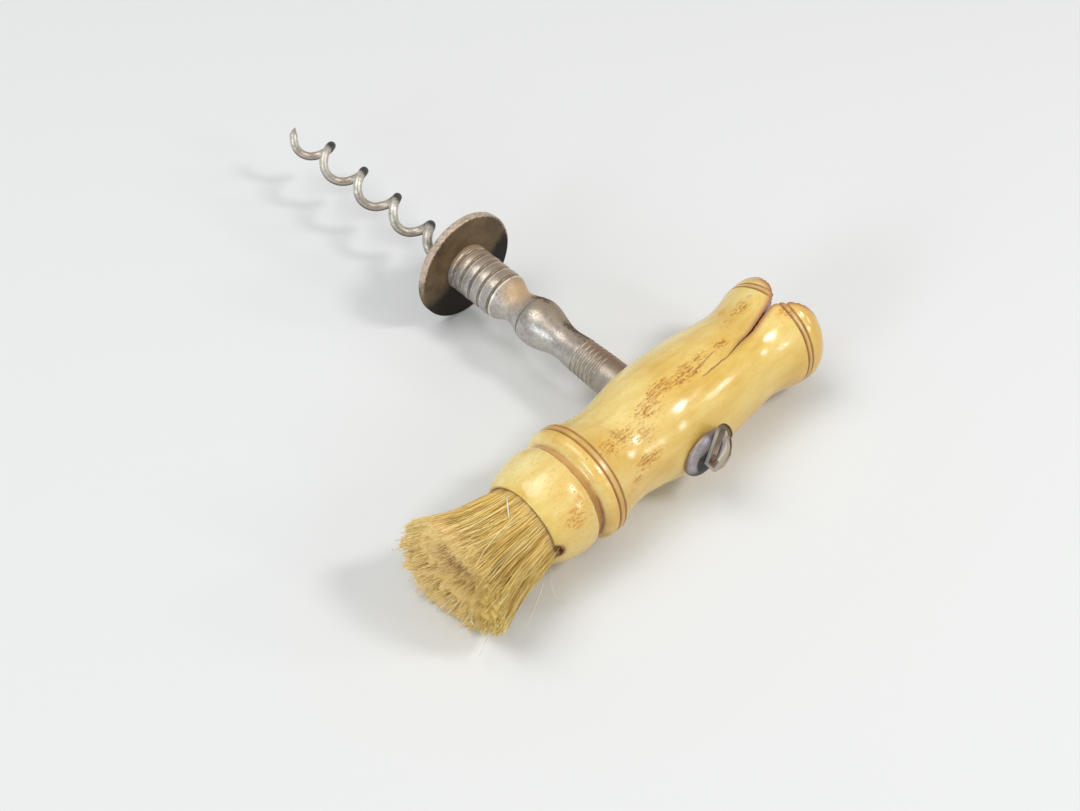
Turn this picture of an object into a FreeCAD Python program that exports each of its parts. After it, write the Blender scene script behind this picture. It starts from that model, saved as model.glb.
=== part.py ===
import FreeCAD, Part
import math
import os
from FreeCAD import Vector

os.makedirs("parts", exist_ok=True)

# T-handle corkscrew lying on its side. While it is built, the handle lies along X, the shank
# runs along +Y from the crossing of the two axes to the worm's point, and +Z is up.
# All sizes are in millimetres.

# Turned bone handle, from the brush mouth to the far end
MOUTH_X = -42.2
MOUTH_R = 9.8
FIRST_BEAD_R = 12.65
WIDE_GROOVE_X = -29.5
WIDE_GROOVE_HALF = 1.15
WIDE_GROOVE_R = 11.45
REST_R = 13.35
BROW_GROOVES_X = (-26.0, -24.4)
WAIST_X = -15.2
WAIST_R = 11.32
BELLY_X = 2.5
BELLY_R = 13.28
FAR_WAIST_X = 25.8
FAR_WAIST_R = 11.55
END_GROOVES_X = (34.2, 35.6)
FINE_GROOVE_HALF = 0.3
FINE_GROOVE_DEPTH = 0.32
FAR_END_X = 41.4
FAR_END_R = 10.2

# Hollows of the bone: brush socket and marrow bore
SOCKET_R = 9.4
SOCKET_Y = -0.6
SOCKET_END_X = -28.0
MARROW_R = 5.5

# Crack along the top of the handle: x, y and half width, until it opens at the broken end
CRACK = (
    (14.0, -4.9, 0.02),
    (19.5, -3.5, 0.13),
    (25.0, -2.75, 0.25),
    (30.0, -1.65, 0.42),
    (33.2, -1.1, 0.75),
)
# Edges of the notch in the far end, seen from above
NOTCH_BELLY_SIDE = ((36.0, -3.3), (39.2, -6.3), (42.5, -10.4))
NOTCH_BACK_SIDE = ((35.4, 0.75), (37.0, 3.2), (38.2, 6.6), (38.7, 10.0), (38.7, 14.5))
LIP_CHIP_R = 1.9

# Filling of the marrow bore
CORE_FROM_X = -28.0
CORE_TO_X = 30.0
PLUG_FROM_X = 31.0
PLUG_TO_X = 37.6
PLUG_DOME = 0.7

# Dusting brush: a bound knot of bristles set in pitch
KNOT_R = 8.3
KNOT_FROM_X = -29.4
KNOT_TO_X = -38.0
BINDING_FROM_X = -31.0
BINDING_TO_X = -36.0
BINDING_R = 8.95
TUFT_R = 9.35
# Sections of the flared tuft: x, centre y, half width along Y, half height along Z
TUFT_SECTIONS = (
    (-42.0, -0.6, 9.35, 9.35),
    (-46.0, -0.9, 10.8, 10.5),
    (-52.0, -1.1, 12.4, 11.8),
    (-58.0, -0.9, 14.3, 12.8),
    (-61.5, -0.5, 15.2, 13.1),
)

# Steel shank with its tang through the handle
TANG_R = 2.1
TANG_TIP_R = 0.6
TANG_END_Y = -12.5
SEAT_Y = 12.3
BASE_R = 4.5
SEAT_CLEARANCE = 0.05
FINE_RIBS_FROM_Y = 17.0
FINE_RIB_PITCH = 1.3
FINE_RIB_COUNT = 6
FINE_RIB_DEPTH = 0.22
FINE_RIBS_END_R = 4.3
NECK_Y = 29.5
NECK_R = 3.9
BULB_Y = 37.2
BULB_R = 5.72
SCRIBED_LINE_Y = 40.2
SCRIBED_LINE_DEPTH = 0.14
THROAT_Y = 44.9
THROAT_R = 4.2
RING_R = 5.85
RING_GROOVES_Y = (49.2, 52.4, 55.3, 58.3, 60.9)
RING_GROOVE_HALF = 0.42
RING_GROOVE_DEPTH = 0.5

# Round button that stops on the bottle's cork
BUTTON_R = 13.4
BUTTON_BACK_Y = 62.2
BUTTON_THICK = 2.0
BUTTON_EDGE = 0.6
BUTTON_TILT = -4.0
SPIGOT_R = 2.7
SPIGOT_PROUD = 0.5
COUNTERSINK = 0.4

# Worm: a round steel wire wound right-handed, thickest at its root, with a short point
ROOT_WIRE_R = 1.3
WIRE_R = 1.1
WIRE_END_R = 1.0
POINT_R = 0.1
# Radius of the centre line at distances along the shank
WORM_RADII = (
    (70.5, 2.45),
    (78.0, 2.5),
    (84.0, 2.78),
    (96.0, 2.98),
    (108.0, 3.15),
    (114.0, 3.12),
    (118.0, 3.05),
    (124.0, 3.05),
)
# Turns that stand out towards the brush: distance along the shank and how far
WORM_BULGES = ((73.5, 0.4), (98.0, 0.45), (110.5, 0.6))
BULGE_REACH = 2.3
WORM_PITCH = 12.3
WORM_NEAR_ANGLE = math.radians(-30.6)
WORM_NEAR_Y = 73.9
WORM_FROM_Y = 70.5
WORM_TO_Y = 122.6
POINT_TO_Y = 123.7
STEM_FROM_Y = 50.0
STEM_OUT_Y = 65.2
FILLET_R = 2.2
FILLET_LENGTH = 1.1

# Pin through the last ring and the worm's stem
PIN_Y = 61.2
PIN_R = 0.5
PIN_REACH = 6.3
PIN_TILT = 18.0

# Domed washer under the hanging loop, on a flat filed on the bone
FLAT_Y = -12.9
FLAT_R = 6.3
WASHER_R = 6.1
WASHER_RIM = 0.6
WASHER_FACE_R = 4.9
WASHER_THICK = 1.6

# Hanging loop: a strap bent to an eye, which turns on the riveted tip of the tang
LOOP_GAP = 0.1
LOOP_THICK = 0.8
LOOP_WIDTH = 2.64
ARCH_WIDTH = 0.7
ARCH_BROAD_TO = 0.6
ARCH_NARROW_FROM = 5.2
TOE_BROAD_TO = 7.8
TOE_NARROW_FROM = 9.6
RUNNING_CLEARANCE = 0.05
RIVET_R = 0.8
RIVET_HEIGHT = 0.9
LOOP_LEAN = 75.0
# Outer corners of the eye: along the strap's foot, and out from its underside
EYE_HEEL = -1.75
EYE_HEEL_TOP = (-1.85, 2.0)
EYE_CORNER = (-1.85, 2.9)
EYE_SHOULDER = (-1.1, 3.4)
EYE_CROWN = (3.9, 4.6)
EYE_TOP = (5.9, 4.55)
EYE_BROW = (8.0, 3.6)
EYE_NOSE = (10.4, 1.5)
EYE_CHIN = (9.4, 0.17)
EYE_TOE = 8.4


def on_y(point):
    # A point of a turned outline about Y, given as distance along the axis and radius
    return Vector(point[1], point[0], 0)


def on_x(point):
    # The same for the handle's axis, X
    return Vector(point[0], point[1], 0)


def line(a, b):
    return Part.LineSegment(a, b).toShape()


def arc(a, b, c):
    return Part.Arc(a, b, c).toShape()


def curve(points):
    spline = Part.BSplineCurve()
    spline.interpolate(points)
    return spline.toShape()


def groove(place, centre, half, depth, radius):
    # Rounded groove in a turned outline, given the radius of the surface that it is cut in
    return arc(
        place((centre - half, radius)),
        place((centre, radius - depth)),
        place((centre + half, radius)),
    )


def dome(place, foot, radius, top):
    # Outline of a ball's cap, from its rim to the axis
    height = top - foot
    ball = (radius * radius + height * height) / (2 * abs(height))
    sag = ball - math.sqrt(ball * ball - radius * radius / 4)
    return arc(
        place((foot, radius)),
        place((top - math.copysign(sag, height), radius / 2)),
        place((top, 0)),
    )


def chain(edges):
    # Joins the ends of successive edges with straight stretches where they don't meet
    whole = []
    for edge in edges:
        if whole:
            gap_from = whole[-1].valueAt(whole[-1].LastParameter)
            gap_to = edge.valueAt(edge.FirstParameter)
            if gap_from.distanceToPoint(gap_to) > 1e-6:
                whole.append(line(gap_from, gap_to))
        whole.append(edge)
    return whole


def turned(edges, axis):
    # Solid of revolution from an outline whose ends are closed to the axis
    edges = chain(edges)
    start = edges[0].valueAt(edges[0].FirstParameter)
    end = edges[-1].valueAt(edges[-1].LastParameter)
    start_on_axis = axis * start.dot(axis)
    end_on_axis = axis * end.dot(axis)
    closed = list(edges)
    if end.distanceToPoint(end_on_axis) > 1e-6:
        closed.append(line(end, end_on_axis))
    closed.append(line(end_on_axis, start_on_axis))
    if start.distanceToPoint(start_on_axis) > 1e-6:
        closed.append(line(start_on_axis, start))
    face = Part.Face(Part.Wire(Part.sortEdges(closed)[0]))
    return face.revolve(Vector(0, 0, 0), axis, 360)


def rod(radius, start, end):
    # Plain cylinder from one point to another
    along = end.sub(start)
    return Part.makeCylinder(radius, along.Length, start, along)


X_AXIS = Vector(1, 0, 0)
Y_AXIS = Vector(0, 1, 0)


def bone_body():
    first_bead = curve([
        on_x((MOUTH_X, MOUTH_R)),
        on_x((-40.4, 10.95)),
        on_x((-37.4, 12.0)),
        on_x((-34.0, FIRST_BEAD_R - 0.05)),
        on_x((WIDE_GROOVE_X - WIDE_GROOVE_HALF, FIRST_BEAD_R - 0.1)),
    ])
    wide_groove = arc(
        on_x((WIDE_GROOVE_X - WIDE_GROOVE_HALF, FIRST_BEAD_R - 0.1)),
        on_x((WIDE_GROOVE_X, WIDE_GROOVE_R)),
        on_x((WIDE_GROOVE_X + WIDE_GROOVE_HALF, FIRST_BEAD_R + 0.1)),
    )
    brow_end = BROW_GROOVES_X[0] - FINE_GROOVE_HALF
    brow = arc(
        on_x((WIDE_GROOVE_X + WIDE_GROOVE_HALF, FIRST_BEAD_R + 0.1)),
        on_x(((WIDE_GROOVE_X + WIDE_GROOVE_HALF + brow_end) / 2, REST_R - 0.12)),
        on_x((brow_end, REST_R)),
    )
    brow_grooves = [
        groove(on_x, x, FINE_GROOVE_HALF, FINE_GROOVE_DEPTH, REST_R) for x in BROW_GROOVES_X
    ]
    end_grooves = [
        groove(on_x, x, FINE_GROOVE_HALF, FINE_GROOVE_DEPTH, REST_R - 0.2) for x in END_GROOVES_X
    ]
    body = curve([
        on_x((BROW_GROOVES_X[1] + FINE_GROOVE_HALF, REST_R)),
        on_x((-20.0, 11.9)),
        on_x((WAIST_X, WAIST_R)),
        on_x((-9.8, 12.0)),
        on_x((-4.0, 13.05)),
        on_x((BELLY_X, BELLY_R)),
        on_x((11.0, 12.95)),
        on_x((18.8, 12.1)),
        on_x((FAR_WAIST_X, FAR_WAIST_R)),
        on_x((30.7, 12.25)),
        on_x((END_GROOVES_X[0] - FINE_GROOVE_HALF, REST_R - 0.2)),
    ])
    end_bead = curve([
        on_x((END_GROOVES_X[1] + FINE_GROOVE_HALF, REST_R - 0.2)),
        on_x((37.2, REST_R)),
        on_x((39.2, 12.85)),
        on_x((40.7, 11.7)),
        on_x((FAR_END_X, FAR_END_R)),
    ])
    outline = [first_bead, wide_groove, brow] + brow_grooves + [body] + end_grooves + [end_bead]
    return turned(outline, X_AXIS)


def crack_cut():
    # Plan of the crack and the notch seen from above, cut down to the handle's axis
    low = [Vector(x, y - half, 0) for x, y, half in CRACK]
    high = [Vector(x, y + half, 0) for x, y, half in CRACK]
    belly_side = [low[-1]] + [Vector(x, y, 0) for x, y in NOTCH_BELLY_SIDE]
    back_side = [high[-1]] + [Vector(x, y, 0) for x, y in NOTCH_BACK_SIDE]
    beyond_low = Vector(FAR_END_X + 3.0, belly_side[-1].y, 0)
    beyond_high = Vector(FAR_END_X + 3.0, back_side[-1].y, 0)
    edges = [
        curve(low),
        curve(belly_side),
        line(belly_side[-1], beyond_low),
        line(beyond_low, beyond_high),
        line(beyond_high, back_side[-1]),
        curve(back_side[::-1]),
        curve(high[::-1]),
        line(high[0], low[0]),
    ]
    face = Part.Face(Part.Wire(edges))
    return face.extrude(Vector(0, 0, REST_R + 1.0))


def bone_handle():
    bone = bone_body()
    socket_centre = Vector(MOUTH_X - 1.0, SOCKET_Y, 0)
    bone = bone.cut(rod(SOCKET_R, socket_centre, Vector(SOCKET_END_X, SOCKET_Y, 0)))
    bone = bone.cut(rod(MARROW_R, Vector(SOCKET_END_X - 1.0, 0, 0), Vector(FAR_END_X + 1.0, 0, 0)))
    bone = bone.cut(rod(TANG_R, Vector(0, -REST_R - 1.0, 0), Vector(0, REST_R + 1.0, 0)))
    seat = rod(BASE_R + SEAT_CLEARANCE, Vector(0, SEAT_Y, 0), Vector(0, REST_R + 1.0, 0))
    flat = rod(FLAT_R, Vector(0, FLAT_Y, 0), Vector(0, -REST_R - 1.0, 0))
    chip_centre = Vector(MOUTH_X + 0.2, -MOUTH_R - 0.6, 0.9)
    chip = Part.makeSphere(LIP_CHIP_R, chip_centre)
    return bone.cut(seat).cut(flat).cut(chip).cut(crack_cut())


def wood_core():
    dowel = rod(MARROW_R, Vector(CORE_FROM_X, 0, 0), Vector(CORE_TO_X, 0, 0))
    return dowel.cut(rod(TANG_R, Vector(0, -MARROW_R - 1, 0), Vector(0, MARROW_R + 1, 0)))


def end_plug():
    outline = [
        line(on_x((PLUG_FROM_X, MARROW_R)), on_x((PLUG_TO_X - PLUG_DOME, MARROW_R))),
        dome(on_x, PLUG_TO_X - PLUG_DOME, MARROW_R, PLUG_TO_X),
    ]
    return turned(outline, X_AXIS)


def ellipse_section(x, y, half_y, half_z):
    if half_y == half_z:
        ring = Part.Circle(Vector(x, y, 0), X_AXIS, half_y)
    else:
        major = Vector(x, y + half_y, 0)
        minor = Vector(x, y, half_z)
        ring = Part.Ellipse(major, minor, Vector(x, y, 0))
    return Part.Wire(ring.toShape())


def bristle_tuft():
    flare = Part.makeLoft([ellipse_section(*section) for section in TUFT_SECTIONS], True)
    mouth_x, mouth_y = TUFT_SECTIONS[0][:2]
    neck = rod(TUFT_R, Vector(mouth_x, mouth_y, 0), Vector(KNOT_TO_X, mouth_y, 0))
    knot = rod(KNOT_R, Vector(KNOT_TO_X, mouth_y, 0), Vector(KNOT_FROM_X, mouth_y, 0))
    return flare.fuse(neck).fuse(knot).removeSplitter()


def ring(outer, inner, start, end):
    return rod(outer, start, end).cut(rod(inner, start, end))


def tuft_binding():
    start = Vector(BINDING_TO_X, SOCKET_Y, 0)
    end = Vector(BINDING_FROM_X, SOCKET_Y, 0)
    return ring(BINDING_R, KNOT_R, start, end)


def pitch_plug():
    mass = rod(SOCKET_R, Vector(KNOT_TO_X, SOCKET_Y, 0), Vector(SOCKET_END_X, SOCKET_Y, 0))
    mass = mass.cut(rod(KNOT_R, Vector(KNOT_TO_X, SOCKET_Y, 0), Vector(KNOT_FROM_X, SOCKET_Y, 0)))
    binding_room = rod(BINDING_R, Vector(BINDING_TO_X, SOCKET_Y, 0), Vector(BINDING_FROM_X, SOCKET_Y, 0))
    return mass.cut(binding_room)


def rivet_under_y():
    return FLAT_Y - WASHER_THICK - LOOP_THICK - 2 * LOOP_GAP


def shank():
    head_y = rivet_under_y()
    tang = [
        line(on_y((head_y, TANG_TIP_R)), on_y((TANG_END_Y, TANG_TIP_R))),
        line(on_y((TANG_END_Y, TANG_R)), on_y((SEAT_Y, TANG_R))),
    ]
    base = [line(on_y((SEAT_Y, BASE_R)), on_y((FINE_RIBS_FROM_Y - FINE_RIB_PITCH / 2, BASE_R)))]
    ribs = []
    for i in range(FINE_RIB_COUNT):
        y = FINE_RIBS_FROM_Y + i * FINE_RIB_PITCH
        radius = BASE_R + (FINE_RIBS_END_R - BASE_R) * i / (FINE_RIB_COUNT - 1)
        ribs.append(groove(on_y, y, FINE_RIB_PITCH * 0.3, FINE_RIB_DEPTH, radius))
    ribs_end_y = FINE_RIBS_FROM_Y + (FINE_RIB_COUNT - 1) * FINE_RIB_PITCH + FINE_RIB_PITCH * 0.3
    baluster = curve([
        on_y((ribs_end_y + 0.5, FINE_RIBS_END_R)),
        on_y((NECK_Y - 2.6, NECK_R + 0.12)),
        on_y((NECK_Y, NECK_R)),
        on_y((33.2, 4.75)),
        on_y((BULB_Y, BULB_R)),
        on_y((SCRIBED_LINE_Y - 0.2, 5.35)),
    ])
    scribed = groove(on_y, SCRIBED_LINE_Y, 0.2, SCRIBED_LINE_DEPTH, 5.3)
    throat = curve([
        on_y((SCRIBED_LINE_Y + 0.2, 5.22)),
        on_y((42.3, 4.6)),
        on_y((THROAT_Y, THROAT_R)),
        on_y((47.0, 4.95)),
        on_y((RING_GROOVES_Y[0] - RING_GROOVE_HALF, RING_R - 0.1)),
    ])
    rings = []
    ring_end_y = BUTTON_BACK_Y + 0.5
    for y, next_y in zip(RING_GROOVES_Y, RING_GROOVES_Y[1:] + (ring_end_y + RING_GROOVE_HALF,)):
        rings.append(groove(on_y, y, RING_GROOVE_HALF, RING_GROOVE_DEPTH, RING_R - 0.1))
        start_y = y + RING_GROOVE_HALF
        end_y = next_y - RING_GROOVE_HALF
        rings.append(arc(
            on_y((start_y, RING_R - 0.1)),
            on_y(((start_y + end_y) / 2, RING_R)),
            on_y((end_y, RING_R - 0.1)),
        ))
    rivet = turned([dome(on_y, head_y, RIVET_R, head_y - RIVET_HEIGHT)], Y_AXIS)
    whole = turned(tang + base + ribs + [baluster, scribed, throat] + rings, Y_AXIS).fuse(rivet)
    whole = whole.cut(button_blank()).fuse(spigot()).removeSplitter()
    whole = whole.cut(rod(ROOT_WIRE_R, Vector(0, STEM_FROM_Y, 0), spigot_front() + Y_AXIS))
    return whole.cut(cross_pin())


def spigot_front():
    return Vector(0, BUTTON_BACK_Y + BUTTON_THICK + SPIGOT_PROUD, 0)


def spigot():
    # Turned end of the shank that the button is riveted on
    return rod(SPIGOT_R, Vector(0, BUTTON_BACK_Y - 1.5, 0), spigot_front())


def button_blank():
    # Disc without its hole, set a little askew on the shank as in the photograph
    front_y = BUTTON_BACK_Y + BUTTON_THICK
    outline = [
        line(on_y((BUTTON_BACK_Y, 0)), on_y((BUTTON_BACK_Y, BUTTON_R - 0.3))),
        arc(
            on_y((BUTTON_BACK_Y, BUTTON_R - 0.3)),
            on_y((BUTTON_BACK_Y + 0.09, BUTTON_R - 0.09)),
            on_y((BUTTON_BACK_Y + 0.3, BUTTON_R)),
        ),
        line(on_y((BUTTON_BACK_Y + 0.3, BUTTON_R)), on_y((front_y - BUTTON_EDGE, BUTTON_R))),
        arc(
            on_y((front_y - BUTTON_EDGE, BUTTON_R)),
            on_y((front_y - 0.3 * BUTTON_EDGE, BUTTON_R - 0.3 * BUTTON_EDGE)),
            on_y((front_y, BUTTON_R - BUTTON_EDGE)),
        ),
    ]
    disc = turned(outline, Y_AXIS)
    disc.rotate(Vector(0, BUTTON_BACK_Y, 0), X_AXIS, BUTTON_TILT)
    return disc


def button_disc():
    # The hole is opened out at its front, where the spigot is riveted over
    mouth = spigot_front() - Y_AXIS * (SPIGOT_PROUD + COUNTERSINK)
    countersink = Part.makeCone(SPIGOT_R, SPIGOT_R + 2 * COUNTERSINK, 2 * COUNTERSINK, mouth, Y_AXIS)
    return button_blank().cut(spigot()).cut(countersink)


def worm_point(y):
    # Centre line of the worm at a distance along the shank's axis
    angle = WORM_NEAR_ANGLE + 2 * math.pi * (y - WORM_NEAR_Y) / WORM_PITCH
    for (from_y, from_r), (to_y, to_r) in zip(WORM_RADII, WORM_RADII[1:]):
        radius = from_r + (to_r - from_r) * (y - from_y) / (to_y - from_y)
        if y <= to_y:
            break
    bulge = sum(out * math.exp(-(((y - at_y) / BULGE_REACH) ** 2)) for at_y, out in WORM_BULGES)
    return Vector(radius * math.sin(angle) - bulge, y, radius * math.cos(angle))


def worm_tangent(y):
    step = 0.001
    return worm_point(y + step).sub(worm_point(y - step)).normalize()


def biarc(start, start_tangent, end, end_tangent):
    # Two arcs that leave and arrive along the given tangents
    span = end.sub(start)
    both = start_tangent.add(end_tangent)
    closing = 2 * (1 - start_tangent.dot(end_tangent))
    reach = (-span.dot(both) + math.sqrt(span.dot(both) ** 2 + closing * span.dot(span))) / closing
    first_corner = start.add(start_tangent * reach)
    second_corner = end.sub(end_tangent * reach)
    join = (first_corner.add(second_corner)) * 0.5
    arcs = []
    for a, corner, b in ((start, first_corner, join), (join, second_corner, end)):
        weight = a.distanceToPoint(b) / 2 / a.distanceToPoint(corner)
        middle = (a.add(b).add(corner * (2 * weight))) * (1 / (2 * (1 + weight)))
        arcs.append(Part.Arc(a, middle, b).toShape())
    return arcs


def worm():
    steps = round((WORM_TO_Y - WORM_FROM_Y) / (WORM_PITCH / 4))
    stops = [WORM_FROM_Y + (WORM_TO_Y - WORM_FROM_Y) * i / steps for i in range(steps + 1)]
    stops.append(POINT_TO_Y)
    stem_start = Vector(0, STEM_FROM_Y, 0)
    stem_end = Vector(0, STEM_OUT_Y, 0)
    edges = biarc(stem_end, Y_AXIS, worm_point(stops[0]), worm_tangent(stops[0]))
    for near, far in zip(stops, stops[1:]):
        edges += biarc(worm_point(near), worm_tangent(near), worm_point(far), worm_tangent(far))
    radii = [edge.Curve.Radius for edge in edges]
    print("worm: tightest bend of the centre line %.2f mm" % min(radii))

    def section(y, radius):
        return Part.Wire(Part.Circle(worm_point(y), worm_tangent(y), radius).toShape())

    def drawn(path, start, end):
        return Part.Wire(path).makePipeShell([start, end], True, False)

    # The first turn thins from the stem to the wire, and the last two arcs run to the point
    stem = rod(ROOT_WIRE_R, stem_start, stem_end)
    stem_ring = Part.Wire(Part.Circle(stem_end, Y_AXIS, ROOT_WIRE_R).toShape())
    wire_ring = section(stops[4], WIRE_R)
    end_ring = section(WORM_TO_Y, WIRE_END_R)
    first_turn = drawn(edges[:10], stem_ring, wire_ring)
    turns = drawn(edges[10:-2], wire_ring, end_ring)
    point = drawn(edges[-2:], end_ring, section(POINT_TO_Y, POINT_R))
    return stem.fuse(first_turn).fuse(turns).fuse(point).cut(cross_pin())


def worm_gap():
    # Least distance between strands that are more than half a turn apart along the worm
    count = 400
    span = WORM_TO_Y - WORM_FROM_Y
    points = [worm_point(WORM_FROM_Y + span * i / count) for i in range(count + 1)]
    apart = int(count * 0.5 * WORM_PITCH / span)
    pairs = [(a, b) for i, a in enumerate(points) for b in points[i + apart:]]
    return min(a.distanceToPoint(b) for a, b in pairs) - 2 * WIRE_R


def braze_fillet():
    # Ring of spelter where the worm leaves the end of the shank
    cone = Part.makeCone(FILLET_R, ROOT_WIRE_R + 0.15, FILLET_LENGTH, spigot_front(), Y_AXIS)
    return cone.cut(worm())


def pin_direction():
    tilt = math.radians(PIN_TILT)
    return Vector(-math.cos(tilt), 0, math.sin(tilt))


def cross_pin():
    reach = pin_direction() * PIN_REACH
    centre = Vector(0, PIN_Y, 0)
    return rod(PIN_R, centre.sub(reach), centre.add(reach))


def tang_washer():
    outer_y = FLAT_Y - WASHER_THICK
    outline = [
        line(on_y((FLAT_Y, TANG_TIP_R)), on_y((FLAT_Y, WASHER_R))),
        line(on_y((FLAT_Y, WASHER_R)), on_y((FLAT_Y - WASHER_RIM, WASHER_R))),
        arc(
            on_y((FLAT_Y - WASHER_RIM, WASHER_R)),
            on_y((outer_y + 0.33, WASHER_R - 0.38)),
            on_y((outer_y, WASHER_FACE_R)),
        ),
    ]
    disc = turned(outline, Y_AXIS)
    return disc.cut(rod(TANG_TIP_R, Vector(0, FLAT_Y + 1, 0), Vector(0, outer_y - 1, 0)))


def hanging_loop():
    # Drawn flat with its foot along X and its height along +Y, then laid on the washer
    def at(point):
        return Vector(point[0], point[1], 0)

    heel = Vector(EYE_HEEL, 0, 0)
    toe = Vector(EYE_TOE, 0, 0)
    outline = Part.Wire([
        line(heel, at(EYE_HEEL_TOP)),
        arc(at(EYE_HEEL_TOP), at(EYE_CORNER), at(EYE_SHOULDER)),
        line(at(EYE_SHOULDER), at(EYE_CROWN)),
        arc(at(EYE_CROWN), at(EYE_TOP), at(EYE_BROW)),
        arc(at(EYE_BROW), at(EYE_NOSE), at(EYE_CHIN)),
        line(at(EYE_CHIN), toe),
        line(toe, heel),
    ])
    inner = outline.makeOffset2D(-LOOP_THICK)
    band = Part.Face(outline).cut(Part.Face(inner))
    strap = band.extrude(Vector(0, 0, LOOP_WIDTH))
    strap.translate(Vector(0, 0, -LOOP_WIDTH / 2))
    # The arch narrows from the heel to the top, and the foot towards its toe
    side = LOOP_WIDTH
    narrow = ARCH_WIDTH - LOOP_WIDTH / 2
    over_arch = Part.makePolygon([
        Vector(ARCH_BROAD_TO, LOOP_THICK, LOOP_WIDTH / 2),
        Vector(ARCH_NARROW_FROM, LOOP_THICK, narrow),
        Vector(EYE_NOSE[0] + 1, LOOP_THICK, narrow),
        Vector(EYE_NOSE[0] + 1, LOOP_THICK, side),
        Vector(ARCH_BROAD_TO, LOOP_THICK, side),
        Vector(ARCH_BROAD_TO, LOOP_THICK, LOOP_WIDTH / 2),
    ])
    over_toe = Part.makePolygon([
        Vector(TOE_BROAD_TO, -1, LOOP_WIDTH / 2),
        Vector(TOE_NARROW_FROM, -1, narrow),
        Vector(EYE_NOSE[0] + 1, -1, narrow),
        Vector(EYE_NOSE[0] + 1, -1, side),
        Vector(TOE_BROAD_TO, -1, side),
        Vector(TOE_BROAD_TO, -1, LOOP_WIDTH / 2),
    ])
    strap = strap.cut(Part.Face(over_arch).extrude(Vector(0, 6, 0)))
    strap = strap.cut(Part.Face(over_toe).extrude(Vector(0, 8, 0)))
    hole = rod(TANG_TIP_R + RUNNING_CLEARANCE, Vector(0, -1, 0), Vector(0, 1.5 * LOOP_THICK, 0))
    strap = strap.cut(hole)
    strap.rotate(Vector(0, 0, 0), X_AXIS, 180)
    strap.rotate(Vector(0, 0, 0), Y_AXIS, -LOOP_LEAN)
    strap.translate(Vector(0, FLAT_Y - WASHER_THICK - LOOP_GAP, 0))
    return strap


pieces = {
    "bone_handle": bone_handle(),
    "wood_core": wood_core(),
    "end_plug": end_plug(),
    "bristle_tuft": bristle_tuft(),
    "tuft_binding": tuft_binding(),
    "pitch_plug": pitch_plug(),
    "shank": shank(),
    "button_disc": button_disc(),
    "worm": worm(),
    "braze_fillet": braze_fillet(),
    "cross_pin": cross_pin(),
    "tang_washer": tang_washer(),
    "hanging_loop": hanging_loop(),
}

print("worm: least gap between turns %.2f mm" % worm_gap())

# The origin is on the ground, under the middle of the whole corkscrew
whole_box = FreeCAD.BoundBox()
for shape in pieces.values():
    whole_box.add(shape.optimalBoundingBox(False))
to_origin = Vector(-whole_box.Center.x, -whole_box.Center.y, -whole_box.ZMin)
print("handle and shank axes cross at (%.3f, %.3f, %.3f)" % tuple(to_origin))

for name, shape in pieces.items():
    shape.translate(to_origin)
    solids = shape.Solids
    print(name, "valid" if shape.isValid() else "NOT VALID", "solids %d" % len(solids),
          "volume %.2f" % shape.Volume)
    shape.exportStep("parts/%s.step" % name)
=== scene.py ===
import math

import bpy
import numpy as np
from mathutils import Matrix, Vector, noise


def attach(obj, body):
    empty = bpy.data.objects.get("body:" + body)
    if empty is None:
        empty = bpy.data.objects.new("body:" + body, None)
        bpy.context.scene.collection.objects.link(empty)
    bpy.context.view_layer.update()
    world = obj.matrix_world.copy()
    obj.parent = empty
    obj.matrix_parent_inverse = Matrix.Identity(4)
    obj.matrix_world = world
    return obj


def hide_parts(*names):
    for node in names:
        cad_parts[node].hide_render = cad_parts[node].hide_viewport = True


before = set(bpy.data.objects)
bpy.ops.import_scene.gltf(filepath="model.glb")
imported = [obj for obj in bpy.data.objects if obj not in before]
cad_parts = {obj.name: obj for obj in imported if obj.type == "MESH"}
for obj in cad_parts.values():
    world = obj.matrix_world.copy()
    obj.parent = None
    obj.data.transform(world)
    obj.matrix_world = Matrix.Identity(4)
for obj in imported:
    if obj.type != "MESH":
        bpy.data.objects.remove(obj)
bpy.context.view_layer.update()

# Bone handle: a length of shin bone turned between centres, with a round bead at the brush end,
# a belly where the hand closes and a second bead at the far end. Age has opened the bone along
# its top, and the far end is broken away on both sides of the split.
MM = 0.001
CROSSING = Vector((0.01005, -0.052257, 0.013466))  # where the axes of handle and shank cross
OUTLINE_STEP = 0.22
MOUTH_X = -42.2
CUT_X = -29.35
BEAD_R = 13.35
BEAD_GROOVES_X = (-26.0, -24.4)
FAR_BEAD_R = 13.15
FAR_GROOVES_X = (34.2, 35.6)
GROOVE_HALF = 0.3
GROOVE_DEPTH = 0.32
SWELL_BEHIND_GROOVE = 0.8
FAR_END_X = 41.4
FAR_END_R = 10.2
SOCKET_R = 9.4
SOCKET_Y = -0.6
SOCKET_END_X = -28.0
SOCKET_RINGS_X = (SOCKET_END_X, -36.0, -41.0, MOUTH_X)
LIP_R = 9.62
MARROW_R = 5.5
MARROW_RINGS_X = (FAR_END_X, 36.0, 30.0, 0.0, SOCKET_END_X)
TANG_R = 2.1
SEAT_R = 4.55
SEAT_Y = 12.3
FLAT_R = 6.3
FLAT_Y = -12.9
CLEAR_OF_BONE = 15.0


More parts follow.
